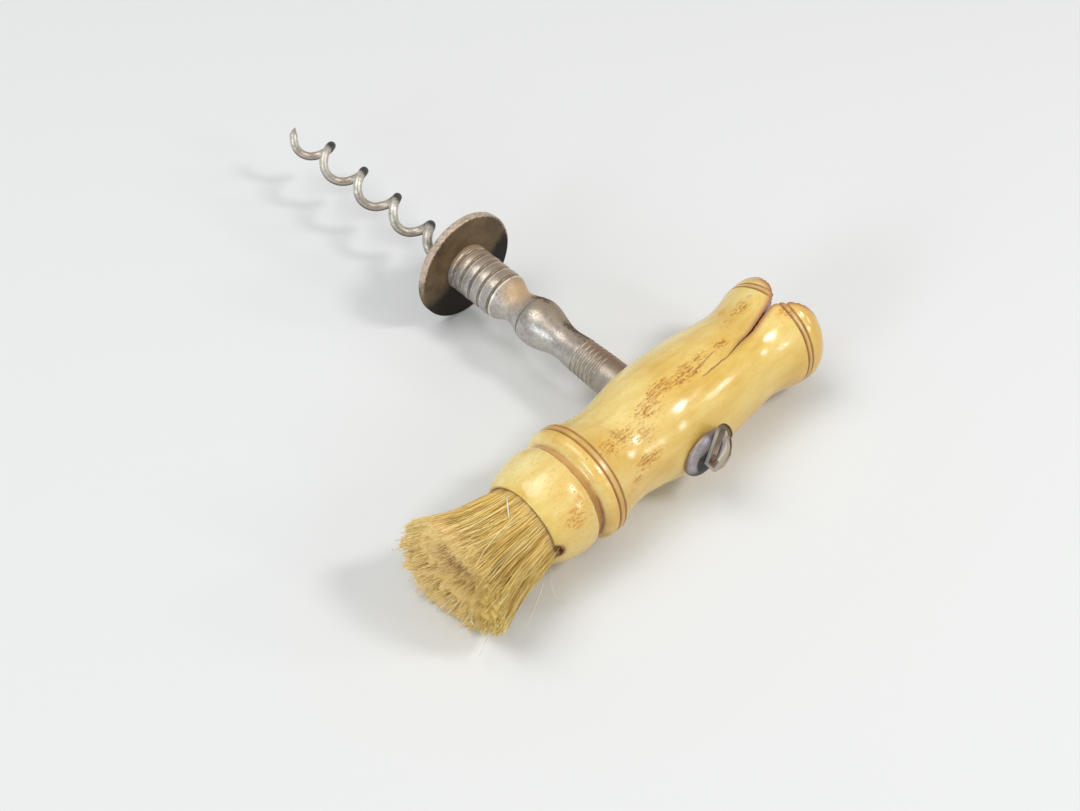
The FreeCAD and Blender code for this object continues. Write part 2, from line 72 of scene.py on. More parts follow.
def smooth_run(points, step=OUTLINE_STEP):
    """Points of a smooth line through the given ones, the last left out."""
    x, y = np.array(points, float).T
    slope = np.gradient(y, x)
    made = []
    for i in range(len(x) - 1):
        span = x[i + 1] - x[i]
        count = max(2, int(math.ceil(abs(span) / step)) + 1)
        for t in np.linspace(0, 1, count)[:-1]:
            height = (1 + 2 * t) * (1 - t) ** 2 * y[i] + t * (1 - t) ** 2 * span * slope[i]
            height = height + t * t * (3 - 2 * t) * y[i + 1] + t * t * (t - 1) * span * slope[i + 1]
            made.append((x[i] + span * t, height))
    return made


def turned_groove(centre, radius):
    """A rounded groove cut in a turned surface, the last point left out."""
    return [
        (centre + GROOVE_HALF * t, radius - GROOVE_DEPTH * (1 - t * t)) for t in np.linspace(-1, 1, 9)[:-1]
    ]


def groove_pair(centres, radius, swell):
    """Two grooves and the slight swell between them, the last point left out."""
    first, second = centres
    between = [(first + GROOVE_HALF, radius), (first + SWELL_BEHIND_GROOVE, radius + swell)]
    return turned_groove(first, radius) + between + turned_groove(second, radius)


def handle_outline():
    """Half section of the turned bone: distance along the handle and radius, in millimetres."""
    points = smooth_run([
        (MOUTH_X, 9.8), (-41.5, 10.35), (-40.4, 10.95), (-37.4, 12.0), (-34.6, 12.55), (-32.6, 12.55),
        (-31.4, 12.25),
    ], 0.15)
    points += smooth_run([
        (-31.4, 12.25), (-30.5, 11.85), (-29.75, 11.5), (CUT_X, 11.42), (-29.0, 11.7), (-28.6, 12.3),
    ], 0.1)
    points += smooth_run([(-28.6, 12.3), (-28.2, 12.8), (-27.5, 13.22), (-26.3, BEAD_R)], 0.12)
    points += groove_pair(BEAD_GROOVES_X, BEAD_R, 0.02)
    points += smooth_run([
        (-24.1, 13.3), (-22.5, 12.62), (-20.0, 11.9), (-15.2, 11.32), (-9.8, 12.0), (-4.0, 13.05),
        (2.5, 13.28), (11.0, 12.95), (18.8, 12.1), (25.8, 11.55), (30.7, 12.25), (33.9, FAR_BEAD_R),
    ])
    points += groove_pair(FAR_GROOVES_X, FAR_BEAD_R, 0.05)
    points += smooth_run([
        (35.9, FAR_BEAD_R), (37.2, 13.35), (39.2, 12.85), (40.7, 11.7), (41.2, 10.9), (FAR_END_X, FAR_END_R),
    ], 0.12)
    return points + [(FAR_END_X, FAR_END_R)]


def mesh_object(name, points, faces):
    """A new mesh object from points in millimetres about the crossing of the two axes."""
    mesh = bpy.data.meshes.new(name)
    placed = np.array(points, float) * MM + np.array(CROSSING)
    mesh.from_pydata(placed.tolist(), [], faces)
    mesh.validate()
    mesh.update()
    made = bpy.data.objects.new(name, mesh)
    bpy.context.scene.collection.objects.link(made)
    return made


def ring_faces(first, second, count):
    """Faces between two closed rings of vertices."""
    return [(first + i, first + (i + 1) % count, second + (i + 1) % count, second + i) for i in range(count)]


def bone_unevenness(x, angle):
    """Slow hollows and swells left by years of handling."""
    at = Vector((x * 0.07, 1.6 * math.sin(angle), 1.6 * math.cos(angle)))
    return 0.10 * noise.noise(at) - 0.06 + 0.035 * noise.noise(at * 3.1)


def bored_turning(name, outline, angles):
    """The turned bone with its brush socket and marrow bore, as one closed skin."""
    rows = [[(x, a, r + bone_unevenness(x, a)) for a in angles] for x, r in outline]
    rows += [[(x, a, MARROW_R) for a in angles] for x in MARROW_RINGS_X]
    for x in SOCKET_RINGS_X:
        row = []
        for a in angles:
            aside = SOCKET_Y * math.sin(a)
            wide = aside + math.sqrt(aside * aside - SOCKET_Y * SOCKET_Y + SOCKET_R * SOCKET_R)
            row.append((x, a, min(wide, LIP_R) if x == MOUTH_X else wide))
        rows.append(row)
    points = [(x, r * math.sin(a), r * math.cos(a)) for row in rows for x, a, r in row]
    count = len(angles)
    faces = []
    for row in range(len(rows)):
        faces += ring_faces(row * count, ((row + 1) % len(rows)) * count, count)
    return mesh_object(name, points, faces)


# Angles are from the top of the handle, fine where the camera looks and coarser underneath
bone_angles = np.radians(np.concatenate([np.arange(-130, 100, 1.0), np.arange(100, 230, 2.5)]))
bone = bored_turning("bone_turning", handle_outline(), bone_angles)


def cutting_rod(start, end, radius, sides):
    """A plain rod used as a drill."""
    start, end = Vector(start), Vector(end)
    along = (end - start).normalized()
    across = along.orthogonal().normalized()
    up = along.cross(across)
    points = []
    for centre in (start, end):
        for i in range(sides):
            a = 2 * math.pi * i / sides
            points.append(centre + (across * math.cos(a) + up * math.sin(a)) * radius)
    faces = ring_faces(0, sides, sides)
    faces += [tuple(range(sides - 1, -1, -1)), tuple(range(sides, 2 * sides))]
    return mesh_object("drill", points, faces)


def cut_away(piece, cutter):
    """Takes the cutter's space out of a piece and removes the cutter."""
    step = piece.modifiers.new("cut", "BOOLEAN")
    step.operation = "DIFFERENCE"
    step.solver = "MANIFOLD"
    step.object = cutter
    bpy.context.view_layer.update()
    graph = bpy.context.evaluated_depsgraph_get()
    mesh = bpy.data.meshes.new_from_object(piece.evaluated_get(graph))
    old = piece.data
    piece.modifiers.clear()
    piece.data = mesh
    bpy.data.meshes.remove(old)
    bpy.data.objects.remove(cutter)


# Centre line of the split, seen from above, with its half width where it gapes
SPLIT = (
    (13.6, -4.6, 0.03), (16.5, -4.05, 0.1), (19.5, -3.4, 0.15), (25.0, -2.6, 0.2), (30.0, -1.5, 0.28),
    (33.2, -1.0, 0.6),
)
SPLIT_OPENS_X = 13.0
SPLIT_ROUGH_X = 14.0
NEAR_LOBE_EDGE = ((36.0, -3.3), (39.2, -6.3), (42.5, -10.4))
FAR_LOBE_EDGE = ((35.4, 0.75), (37.0, 3.2), (38.2, 6.6), (38.7, 10.0), (38.7, 14.5))
EDGE_STEP = 0.25
CHIP = (MOUTH_X + 0.2, -10.6, 0.5)
CHIP_R = 1.7


def resampled(points, step):
    """Points a step apart along a polyline."""
    points = [Vector(p) for p in points]
    made = []
    for a, b in zip(points, points[1:]):
        count = max(1, int((b - a).length / step))
        made += [a.lerp(b, i / count) for i in range(count)]
    return made + [points[-1]]


def split_edges():
    """The split's two edges seen from above, as points a quarter of a millimetre apart."""
    low = [(x, y - half) for x, y, half in SPLIT] + list(NEAR_LOBE_EDGE)
    high = [(x, y + half) for x, y, half in SPLIT] + list(FAR_LOBE_EDGE[:3])
    low = smooth_run(low, 0.5) + [low[-1]]
    high = smooth_run(high, 0.5) + [high[-1]] + list(FAR_LOBE_EDGE[3:])
    return resampled(low, EDGE_STEP), resampled(high, EDGE_STEP)


def break_cutter():
    """The space of the split and of the bone that has broken away, with rough sides."""
    low, high = split_edges()
    beyond = [Vector((FAR_END_X + 3, low[-1].y)), Vector((FAR_END_X + 3, high[-1].y))]
    loop = low + resampled([low[-1]] + beyond + [high[-1]], 1.0)[1:-1] + high[::-1]
    levels = np.arange(0.0, CLEAR_OF_BONE + 0.01, 0.5)
    points = []
    for z in levels:
        for p in loop:
            rough = 0.25 * min(1.0, max(0.0, (p.x - SPLIT_ROUGH_X) / 22))
            push = noise.noise_vector(Vector((p.x * 0.9, p.y * 1.4, z * 0.8))) * rough
            fine = noise.noise_vector(Vector((p.x * 3.1, p.y * 3.4, z * 2.1))) * rough * 0.5
            points.append((p.x + push.x + fine.x, p.y + push.y + fine.y, z))
    count = len(loop)
    faces = []
    for row in range(len(levels) - 1):
        faces += ring_faces(row * count, (row + 1) * count, count)
    last = (len(levels) - 1) * count
    faces += [tuple(range(count - 1, -1, -1)), tuple(range(last, last + count))]
    return mesh_object("split", points, faces)


def chip_cutter():
    """A rough ball that takes the chip out of the mouth's lip."""
    rows, around = 18, 28
    points = [(CHIP[0] - CHIP_R, CHIP[1], CHIP[2])]
    for i in range(1, rows):
        polar = math.pi * i / rows
        for j in range(around):
            a = 2 * math.pi * j / around
            out = Vector((-math.cos(polar), math.sin(polar) * math.cos(a), math.sin(polar) * math.sin(a)))
            radius = CHIP_R * (1 + 0.35 * noise.noise(out * 1.7 + Vector((3, 1, 8))))
            points.append(Vector(CHIP) + out * radius)
    points.append((CHIP[0] + CHIP_R, CHIP[1], CHIP[2]))
    last = len(points) - 1
    faces = [(0, 1 + (j + 1) % around, 1 + j) for j in range(around)]
    for i in range(rows - 2):
        faces += [face[::-1] for face in ring_faces(1 + (i + 1) * around, 1 + i * around, around)]
    foot = 1 + (rows - 2) * around
    faces += [(last, foot + j, foot + (j + 1) % around) for j in range(around)]
    return mesh_object("chip", points, faces)


cut_away(bone, cutting_rod((0, -CLEAR_OF_BONE, 0), (0, CLEAR_OF_BONE, 0), TANG_R, 32))
cut_away(bone, cutting_rod((0, SEAT_Y, 0), (0, CLEAR_OF_BONE, 0), SEAT_R, 64))
cut_away(bone, cutting_rod((0, FLAT_Y, 0), (0, -CLEAR_OF_BONE, 0), FLAT_R, 64))
cut_away(bone, break_cutter())
cut_away(bone, chip_cutter())
bone.data.shade_smooth()
bone.data.set_sharp_from_angle(angle=math.radians(38))


class Value:
    """A socket that Python's own arithmetic works on: each operation adds its Math node."""

    def __init__(self, finish, socket):
        self.finish = finish
        self.socket = socket

    def math(self, operation, *values):
        return self.finish.node("ShaderNodeMath", {"operation": operation}, dict(enumerate(values)))

    def __add__(self, other):
        return self.math("ADD", self, other)

    __radd__ = __add__

    def __sub__(self, other):
        return self.math("SUBTRACT", self, other)

    def __rsub__(self, other):
        return self.math("SUBTRACT", other, self)

    def __mul__(self, other):
        return self.math("MULTIPLY", self, other)

    __rmul__ = __mul__

    def __truediv__(self, other):
        return self.math("DIVIDE", self, other)

    def __rtruediv__(self, other):
        return self.math("DIVIDE", other, self)

    def __abs__(self):
        return self.math("ABSOLUTE", self)

    def root(self):
        return self.math("SQRT", self)

    def clamped(self):
        return self.math("MAXIMUM", self.math("MINIMUM", self, 1.0), 0.0)

    def rise(self, start, end):
        """0 below start, 1 above end and a smooth rise between; start may be the higher."""
        sockets = {"Value": self, "From Min": start, "From Max": end}
        if start > end:
            sockets = {"Value": self, "From Min": end, "From Max": start, "To Min": 1.0, "To Max": 0.0}
        return self.finish.node("ShaderNodeMapRange", {"interpolation_type": "SMOOTHSTEP"}, sockets)

    def beside(self, output):
        """Another output of the same node."""
        return Value(self.finish, self.socket.node.outputs[output])


def linear(colour):
    """A colour as Blender's shaders take it, from its usual 0 to 255 values."""
    shares = [c / 255 for c in colour]
    return tuple(c / 12.92 if c <= 0.04 else ((c + 0.055) / 1.055) ** 2.4 for c in shares) + (1.0,)


class Finish:
    """A material made of nodes."""

    def __init__(self, name, **constants):
        self.material = bpy.data.materials.new(name)
        self.material.use_nodes = True
        self.tree = self.material.node_tree
        self.shader = self.tree.nodes["Principled BSDF"]
        for socket, value in constants.items():
            self.shader.inputs[socket.replace("_", " ")].default_value = value

    def node(self, kind, settings=None, sockets=None, output=0):
        """Adds a node: its settings first, then the values or links of its sockets."""
        made = self.tree.nodes.new(kind)
        for name, value in (settings or {}).items():
            if name == "stops":
                ramp = made.color_ramp
                while len(ramp.elements) < len(value):
                    ramp.elements.new(0.5)
                for element, (position, colour) in zip(ramp.elements, value):
                    element.position = position
                    element.color = linear(colour)
            else:
                setattr(made, name, value)
        for name, value in (sockets or {}).items():
            self.join(value, made.inputs[name])
        return Value(self, made.outputs[output])

    def join(self, value, socket):
        """Links a value to a socket, or writes a plain number or colour on it."""
        if isinstance(value, Value):
            self.tree.links.new(value.socket, socket)
        else:
            socket.default_value = value

    def place(self):
        """Where the point is, in the part's own frame, in millimetres from the crossing."""
        spot = self.node("ShaderNodeTexCoord", output="Object")
        moved = self.node("ShaderNodeVectorMath", {"operation": "SUBTRACT"}, {0: spot, 1: CROSSING})
        return self.node("ShaderNodeVectorMath", {"operation": "SCALE"}, {0: moved, "Scale": 1000.0})

    def lengthwise(self, place, share):
        """A place pressed together along the handle, so that marks made on it run lengthwise."""
        return self.node("ShaderNodeVectorMath", {"operation": "MULTIPLY"}, {0: place, 1: (share, 1.0, 1.0)})

    def facing(self):
        """The direction the surface faces."""
        return self.node("ShaderNodeTexCoord", output="Normal")

    def axes(self, place):
        """The three numbers of a place or a direction."""
        made = self.node("ShaderNodeSeparateXYZ", {}, {0: place})
        return [made.beside(i) for i in range(3)]

    def noise(self, place, scale, detail=3.0, roughness=0.55, distortion=0.0):
        sockets = {"Vector": place, "Scale": scale, "Detail": detail, "Roughness": roughness}
        return self.node("ShaderNodeTexNoise", {}, {**sockets, "Distortion": distortion})

    def attribute(self, name):
        """A number written on the mesh's vertices."""
        return self.node("ShaderNodeAttribute", {"attribute_name": name}, output="Fac")

    def mixed(self, amount, first, second):
        """Two colours mixed, the second by the given amount."""
        first, second = (linear(c) if isinstance(c, tuple) else c for c in (first, second))
        return self.node("ShaderNodeMix", {"data_type": "RGBA"}, {0: amount, 6: first, 7: second}, 2)

    def coated(self, colour, *coats):
        """A colour under coats laid in turn, each an amount and the coat's own colour."""
        for amount, coat in coats:
            colour = self.mixed(amount, colour, coat)
        return colour

    def ramp(self, amount, *stops):
        return self.node("ShaderNodeValToRGB", {"stops": stops}, {0: amount})

    def bump(self, height, distance):
        """Height in millimetres times the given distance."""
        sockets = {"Height": height, "Distance": distance * MM, "Strength": 1.0}
        return self.node("ShaderNodeBump", {}, sockets)

    def finish(self, **links):
        for socket, value in links.items():
            self.join(value, self.shader.inputs[socket.replace("_", " ")])
        return self.material


def give_attribute(piece, name, values):
    """Writes one number for each vertex."""
    made = piece.data.attributes.new(name, "FLOAT", "POINT")
    made.data.foreach_set("value", np.asarray(values, np.float32))


def vertex_places(piece):
    """Vertices of a piece in millimetres from the crossing."""
    places = np.zeros(len(piece.data.vertices) * 3, np.float32)
    piece.data.vertices.foreach_get("co", places)
    return (places.reshape(-1, 3) - np.array(CROSSING)) / MM


def bump_of(distance, width):
    """1 at no distance, falling off smoothly over the width."""
    return np.exp(-(distance / width) ** 2)


# Where the bone's pores are open: x, angle from the top, reach along and round, how many of them
# there are, and how far amber has soaked in about them
PORE_PATCHES = (
    (4.0, -9, 6.0, 11, 1.0, 1.0), (-3.0, -6, 5.0, 11, 0.95, 0.95), (9.5, -4, 4.5, 8, 0.75, 0.7),
    (16.0, -6, 4.0, 8, 0.85, 0.9), (-8.5, -13, 5.0, 15, 0.9, 0.6), (-12.0, -31, 5.0, 13, 0.85, 0.3),
    (-16.5, -18, 4.5, 15, 0.9, 0.6), (-21.0, -20, 3.5, 18, 0.75, 0.95), (-14.5, -56, 5.0, 11, 0.95, 0.85),
    (-19.0, -66, 3.5, 8, 0.8, 0.7), (22.5, 10, 4.5, 9, 0.6, 0.5), (28.0, 18, 5.0, 11, 0.9, 0.7),
    (31.5, -12, 3.0, 11, 0.5, 0.5), (33.4, -19, 2.2, 11, 0.9, 0.9), (20.0, -12, 4.0, 6, 0.45, 0.5),
    (-36.5, -55, 3.2, 16, 0.9, 0.9), (-33.2, -42, 2.0, 22, 0.6, 0.9), (-34.5, -20, 3.5, 24, 0.42, 0.45),
    (-27.2, -25, 1.0, 60, 0.35, 0.7), (-12.0, 28, 8.0, 18, 0.3, 0.15), (29.0, -55, 5.0, 14, 0.35, 0.2),
    (4.0, -50, 6.0, 12, 0.28, 0.1), (-1.0, 20, 6.0, 9, 0.3, 0.2), (25.4, 34, 1.8, 6, 0.85, 0.8),
)
WALL_R = 9.6  # between the walls of the bores and the outside
FAR_OFF = 50.0


def mark_bone(piece):
    """Writes to its vertices where the bone is discoloured, pitted and rubbed, and where shade is painted.
    """
    x, y, z = vertex_places(piece).T
    angle = np.degrees(np.arctan2(y, z))
    outer = np.hypot(y, z) > WALL_R
    low_side = np.clip((-38 - angle) / 34, 0, 1)
    stain = (0.4 + 0.6 * low_side) * bump_of(x - CUT_X, 0.4)
    for centre in BEAD_GROOVES_X + FAR_GROOVES_X:
        stain += 0.72 * bump_of(x - centre, 0.34)
    stain += 0.3 * bump_of(x - np.mean(BEAD_GROOVES_X), 0.5)
    stain += 0.25 * bump_of(x - np.mean(FAR_GROOVES_X), 0.6)
    # Painted contact shade round the shank's seat, with dirt
    stain += 0.7 * bump_of(np.hypot(x, z) - SEAT_R - 0.05, 0.7) * (y > 8)
    give_attribute(piece, "stain", stain * outer)
    pores = np.zeros(len(x))
    amber = np.zeros(len(x))
    for at_x, at_angle, along, across, many, soaked in PORE_PATCHES:
        here = bump_of(x - at_x, along) * bump_of(angle - at_angle, across)
        pores = np.maximum(pores, here * many)
        amber = np.maximum(amber, here * soaked)
    give_attribute(piece, "pores", pores * outer)
    give_attribute(piece, "amber", amber * outer)
    # Distance from the split, seen from above
    top = (z > 0) & (x > 10)
    low, high = split_edges()
    nearest = np.full(top.sum(), FAR_OFF)
    for p in low + high:
        nearest = np.minimum(nearest, np.hypot(x[top] - p.x, y[top] - p.y))
    near = np.full(len(x), FAR_OFF)
    near[top] = nearest
    open_end = np.clip((x - SPLIT_OPENS_X) / 14, 0, 1)
    give_attribute(piece, "lip", np.exp(-near / 0.9) * open_end * np.where(y > -1.5, 1.0, 0.6))
    give_attribute(piece, "edge", bump_of(near, 0.58) * open_end)
    chip = np.sqrt((x - CHIP[0]) ** 2 + (y - CHIP[1]) ** 2 + (z - CHIP[2]) ** 2)
    give_attribute(piece, "chip", bump_of(np.maximum(chip - CHIP_R, 0), 0.5))
    give_attribute(piece, "inner", (~outer & (x < FAR_END_X - 0.2)).astype(float))


mark_bone(bone)

MEAN_R = 12.6
BEAD_MIDDLE_X = -34.0
WAIST_X = -12.0
BAND_X = -30.35
BAND_EDGE_X = -31.2


def bone_finish():
    """Polished old bone: cream to gold, amber in the cuts, brown in its open pores."""
    look = Finish("polished_bone", Roughness=0.2, IOR=1.54, Subsurface_Weight=0.1, Subsurface_Scale=0.002)
    place = look.place()
    x, y, z = look.axes(place)
    slow = look.noise(place, 0.055, 2.0)
    cloud = look.noise(look.lengthwise(place, 0.35), 0.16, 4.0, 0.6)
    grain = look.noise(look.lengthwise(place, 0.09), 2.4, 3.0, 0.6)
    tone = (slow * 0.5 + cloud * 0.6 + grain * 0.1 - 0.1).clamped()
    gold = look.ramp(
        tone,
        (0.30, (208, 162, 74)), (0.46, (224, 184, 90)), (0.60, (234, 200, 108)), (0.78, (240, 213, 132)),
    )
    cream = look.ramp(
        tone,
        (0.30, (228, 196, 122)), (0.46, (238, 212, 138)), (0.60, (243, 223, 154)), (0.78, (247, 233, 178)),
    )
    # The side towards the shank is painted paler and the side away from it darker gold, as painted shade;
    # the first bead and the waist behind it are paler too
    bead = abs(x - BEAD_MIDDLE_X).rise(9.0, 3.0)
    waist = abs(x - WAIST_X).rise(14.0, 3.0)
    pale = (y * 0.022 + bead * 0.5 + waist * 0.45 + (cloud - 0.5) * 1.4 + 0.28).clamped()
    far_bead = (x.rise(36.0, 37.4) * (cloud * 0.6 + 0.6)).clamped()
    end_grain = look.noise(place, 1.3, 4.0, 0.7).rise(0.36, 0.66) * 0.7 + 0.15
    colour = look.coated(
        look.mixed(pale, gold, cream),
        # Painted shade: darker gold on the side away from the shank
        (y.rise(-6.0, -13.0) * 0.22, (196, 156, 84)),
        (far_bead, (220, 178, 92)),
        (x.rise(FAR_END_X - 0.6, FAR_END_X - 0.2) * end_grain, (190, 146, 84)),
    )
    # Pores are short strokes along the handle, laid out on its unrolled surface
    pores = look.attribute("pores")
    amber = look.attribute("amber")
    wander = look.noise(place, 0.7, 2.0)
    arc = y.math("ARCTAN2", y, z) * MEAN_R + wander * 1.2
    patchy = look.noise(place, 0.6, 3.0, 0.7)

    def strokes(along, across, largest, shift):
        """Dashes of many sizes: 1 inside one, 0 on the plain bone."""
        lengthwise = x * along + wander * 0.5 + shift
        unrolled = look.node("ShaderNodeCombineXYZ", {}, {0: lengthwise, 1: arc * across})
        flat = {"voronoi_dimensions": "2D"}
        cells = look.node("ShaderNodeTexVoronoi", flat, {"Vector": unrolled, "Scale": 1.0}, "Distance")
        chance = look.node("ShaderNodeSeparateColor", {}, {0: cells.beside("Color")})
        size = (pores * 1.5 + patchy * 0.5 - 0.25 - chance * 0.85).clamped() * largest
        return (size - cells).rise(-0.07, 0.15) * pores.rise(0.02, 0.12)

    dashes = strokes(0.34, 1.7, 0.42, 0.0) * (x.rise(-31.0, -27.0) * 0.8 + 0.2)
    streaks = strokes(0.17, 2.0, 0.44, 7.0)
    dots = strokes(1.1, 1.35, 0.42, 13.0)
    speckle = look.noise(look.lengthwise(place, 0.6), 1.5, 3.0, 0.7)
    soaked = (amber * (patchy.rise(0.26, 0.6) * 0.7 + 0.3)).clamped()
    pit_colour = look.mixed((amber * 1.6).clamped(), (186, 158, 80), (170, 116, 42))
    # Hairlines run on from the split, where the bone has begun to open
    tail = y - (x * 0.055 - 5.15) - (wander - 0.5) * 0.7
    hairline = abs(tail).rise(0.26, 0.06) * abs(x - 10.8).rise(4.6, 3.2) * z.rise(0.0, 2.0)
    branch = y - (x * 0.16 - 3.9) - (wander - 0.5)
    second = abs(branch).rise(0.3, 0.06) * abs(x - 9.5).rise(5.2, 3.0) * z.rise(0.0, 2.0)
    lines = (hairline * 0.85 + second * patchy.rise(0.3, 0.44) * 0.7).clamped()
    colour = look.coated(
        colour,
        (speckle.rise(0.52, 0.7) * (x.rise(-27.0, -31.0) * 0.22 + 0.28), (204, 168, 92)),
        (soaked * 0.7, (232, 178, 76)),
        (streaks * (amber * 1.5).clamped() * 0.75, (204, 142, 54)),
        ((dashes * (0.25 + patchy * 0.7) + dots * 0.5).clamped(), pit_colour),
        (lines, (146, 94, 46)),
    )
    # Amber and brown in the turned cuts, with painted shade in the wide groove's band and round the shank's
    # seat
    uneven = look.noise(place, 0.4, 3.0, 0.6)
    deep = (look.attribute("stain") * (uneven * 0.8 + 0.6)).clamped()
    edge_x = x + (wander - 0.5) * 0.5
    band = abs(edge_x - BAND_X).rise(1.1, 0.7)
    band_edge = abs(edge_x - BAND_EDGE_X).rise(0.3, 0.08) * uneven.rise(0.3, 0.55)
    colour = look.coated(
        colour,
        # Painted shade on the wide groove's sloping wall, with amber stain, darker on the side away from the
        # shank
        (band * (0.5 + uneven * 0.6), (190, 138, 80)),
        (band * y.rise(-4.0, -11.0) * 0.6, (138, 88, 46)),
        (band_edge * 0.6, (150, 100, 56)),
        (deep.rise(0.08, 0.7) * 0.85, (176, 120, 66)),
        (deep.rise(0.5, 1.0) * 0.7, (118, 72, 38)),
    )
    # Lips of the split are worn pinkish, its edges are brown and its inside is dark
    lip = look.attribute("lip")
    chip = look.attribute("chip")
    inner = look.attribute("inner")
    colour = look.coated(
        colour,
        ((lip * 1.6).rise(0.1, 0.9) * 0.8, (214, 164, 118)),
        (look.attribute("edge") * 0.85, (156, 102, 56)),
        (chip * 0.9, (128, 66, 34)),
        (inner.rise(0.2, 0.8) * 0.9, (112, 72, 42)),
    )
    pit = (dashes + dots * 0.7 + lines).clamped()
    rough = 0.12 + pit * 0.35 + deep * 0.3 + cloud * 0.1 + inner * 0.5 + chip * 0.4 + soaked * 0.08
    height = grain * 0.01 - pit * 0.045 + patchy * 0.012 + lip * 0.25
    return look.finish(Base_Color=colour, Roughness=rough.clamped(), Normal=look.bump(height, 1.0))


bone.data.materials.clear()
bone.data.materials.append(bone_finish())
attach(bone, "corkscrew")
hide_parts("bone_handle")


# Filling of the bone: a dowel of dark wood driven into the marrow bore, which grips the tang,
# and a turned plug of the same wood that closes the bore at the far end.
def dress(node, material):
    """Gives a CAD node a better material."""
    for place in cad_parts[node].material_slots:
        place.material = material


def dark_wood_finish():
    """Old fruitwood, brown with dirt."""
    wood = Finish("dark_wood")
    place = wood.place()
    grain = wood.noise(wood.lengthwise(place, 0.15), 1.6, 5.0, 0.65, 0.4)
    colour = wood.ramp(grain, (0.3, (58, 34, 20)), (0.55, (98, 60, 36)), (0.8, (136, 90, 54)))
    return wood.finish(Base_Color=colour, Roughness=0.55 + grain * 0.3, Normal=wood.bump(grain, 0.12))


wood_look = dark_wood_finish()
dress("wood_core", wood_look)
dress("end_plug", wood_look)

# Dusting brush: hog's bristles tied in a round knot with thread and set in pitch in the bone's
# socket. They fan out to a ragged end, hollow in its middle, and a few have worked loose.
OUTER_HAIRS = 4200
CROSSING_HAIRS = 260
INNER_HAIRS = 1900
SPRUNG_HAIRS = 90
HAIR_SEED = 7
OUTER_LOCKS = 330
INNER_LOCKS = 120
OUTER_RINGS = 9
INNER_RINGS = 4
HAIR_SIDES = 3
HAIR_R = 0.12
SPRUNG_R = 0.11
TIP_SHARE = 0.6
SHORT_SHARE = 0.12
# The tuft's form: distance along the handle, middle, half width and half height
TUFT_FORM = np.array((
    (-36.0, -0.6, 9.0, 9.0), (-42.0, -0.6, 9.15, 9.15), (-46.0, -0.8, 9.95, 9.9),
    (-52.0, -0.9, 11.1, 10.9), (-56.0, -0.8, 12.5, 11.8), (-59.0, -0.6, 14.0, 12.6),
    (-61.5, -0.4, 15.2, 12.9), (-66.0, -0.3, 16.4, 13.0),
))
WIDEST = 1.03
ROOT_X = -38.0
INNER_ROOT_X = -50.0
FAN_X = -42.0
END_X = -61.6
FARTHEST_X = -64.4
IN_MOUTH_X = -43.0
IN_MOUTH_R = 9.2
PACKED_SHARE = 0.93
PACKED_SIDES = 420
# Bristles that have worked loose: points from root to tip, and radius
LOOSE_HAIRS = (
    ((-52.0, 11.2, 0.5), (-60.5, 14.4, -1.0), (-63.1, 15.5, -1.0), 0.19),
    ((-54.0, 11.6, -1.6), (-62.3, 14.3, -3.0), (-64.0, 15.2, -3.0), 0.19),
    ((-55.0, 5.2, -8.2), (-63.6, 7.5, -9.0), (-65.8, 7.9, -9.5), 0.19),
    ((-54.0, 1.0, -9.2), (-61.8, 1.3, -10.0), (-64.9, 1.3, -10.5), 0.19),
    ((-52.0, -0.4, -9.4), (-59.7, -0.4, -10.0), (-64.8, -0.8, -10.5), 0.19),
    ((-52.0, -2.6, -9.2), (-59.6, -3.9, -10.0), (-64.7, -5.0, -10.8), 0.19),
    ((-52.0, -2.4, -8.4), (-59.0, -4.0, -9.0), (-61.6, -6.7, -10.0), 0.19),
    ((-52.0, -6.4, -8.4), (-59.3, -9.7, -9.0), (-65.7, -12.6, -10.0), 0.19),
    ((-44.4, 1.8, 9.5), (-46.2, -0.3, 10.7), (-48.0, -2.6, 10.3), 0.2),
    ((-46.9, -11.6, -4.0), (-50.3, -13.0, -7.0), (-54.6, -14.4, -10.0), 0.15),
    ((-42.6, -9.4, -2.0), (-44.8, -12.6, -8.0), (-42.8, -14.6, -12.4), 0.09),
)
WHITE_TONE = 1.35


def tuft_at(x):
    """Middle, half width and half height of the tuft at distances along the handle."""
    return [np.interp(-x, -TUFT_FORM[:, 0], TUFT_FORM[:, i]) for i in (1, 2, 3)]


def hair_tubes(name, lines, radius, tones):
    """One mesh of thin closed tubes along lines of points, with each hair's tone and reach."""
    lines = np.asarray(lines, float)
    hairs, rings, _ = lines.shape
    along = np.gradient(lines, axis=1)
    along /= np.linalg.norm(along, axis=2, keepdims=True)
    across = np.cross(along, np.array((0.13, 0.31, 0.94)))
    across /= np.linalg.norm(across, axis=2, keepdims=True)
    over = np.cross(along, across)
    reach = np.linspace(0, 1, rings)
    size = np.asarray(radius, float).reshape(-1, 1) * (1 - (1 - TIP_SHARE) * reach[None, :] ** 1.5)
    points = []
    for i in range(HAIR_SIDES):
        a = 2 * math.pi * i / HAIR_SIDES
        points.append(lines + (across * math.cos(a) + over * math.sin(a)) * size[:, :, None])
    points = np.stack(points, 2).reshape(-1, 3)
    sides = []
    for row in range(rings - 1):
        foot = row * HAIR_SIDES
        for i in range(HAIR_SIDES):
            j = (i + 1) % HAIR_SIDES
            sides.append((foot + i, foot + j, foot + HAIR_SIDES + j, foot + HAIR_SIDES + i))
    ends = [tuple(range(HAIR_SIDES))[::-1], tuple(range((rings - 1) * HAIR_SIDES, rings * HAIR_SIDES))]
    step = rings * HAIR_SIDES
    starts = (np.arange(hairs) * step)[:, None, None]
    faces = []
    for pattern in (np.array(sides), np.array(ends)):
        faces += (pattern[None, :, :] + starts).reshape(-1, pattern.shape[1]).tolist()
    made = mesh_object(name, points, faces)
    give_attribute(made, "tone", np.repeat(np.asarray(tones, float), step))
    give_attribute(made, "place_along", np.repeat(lines[:, :, 0].reshape(-1), HAIR_SIDES))
    made.data.shade_smooth()
    return made


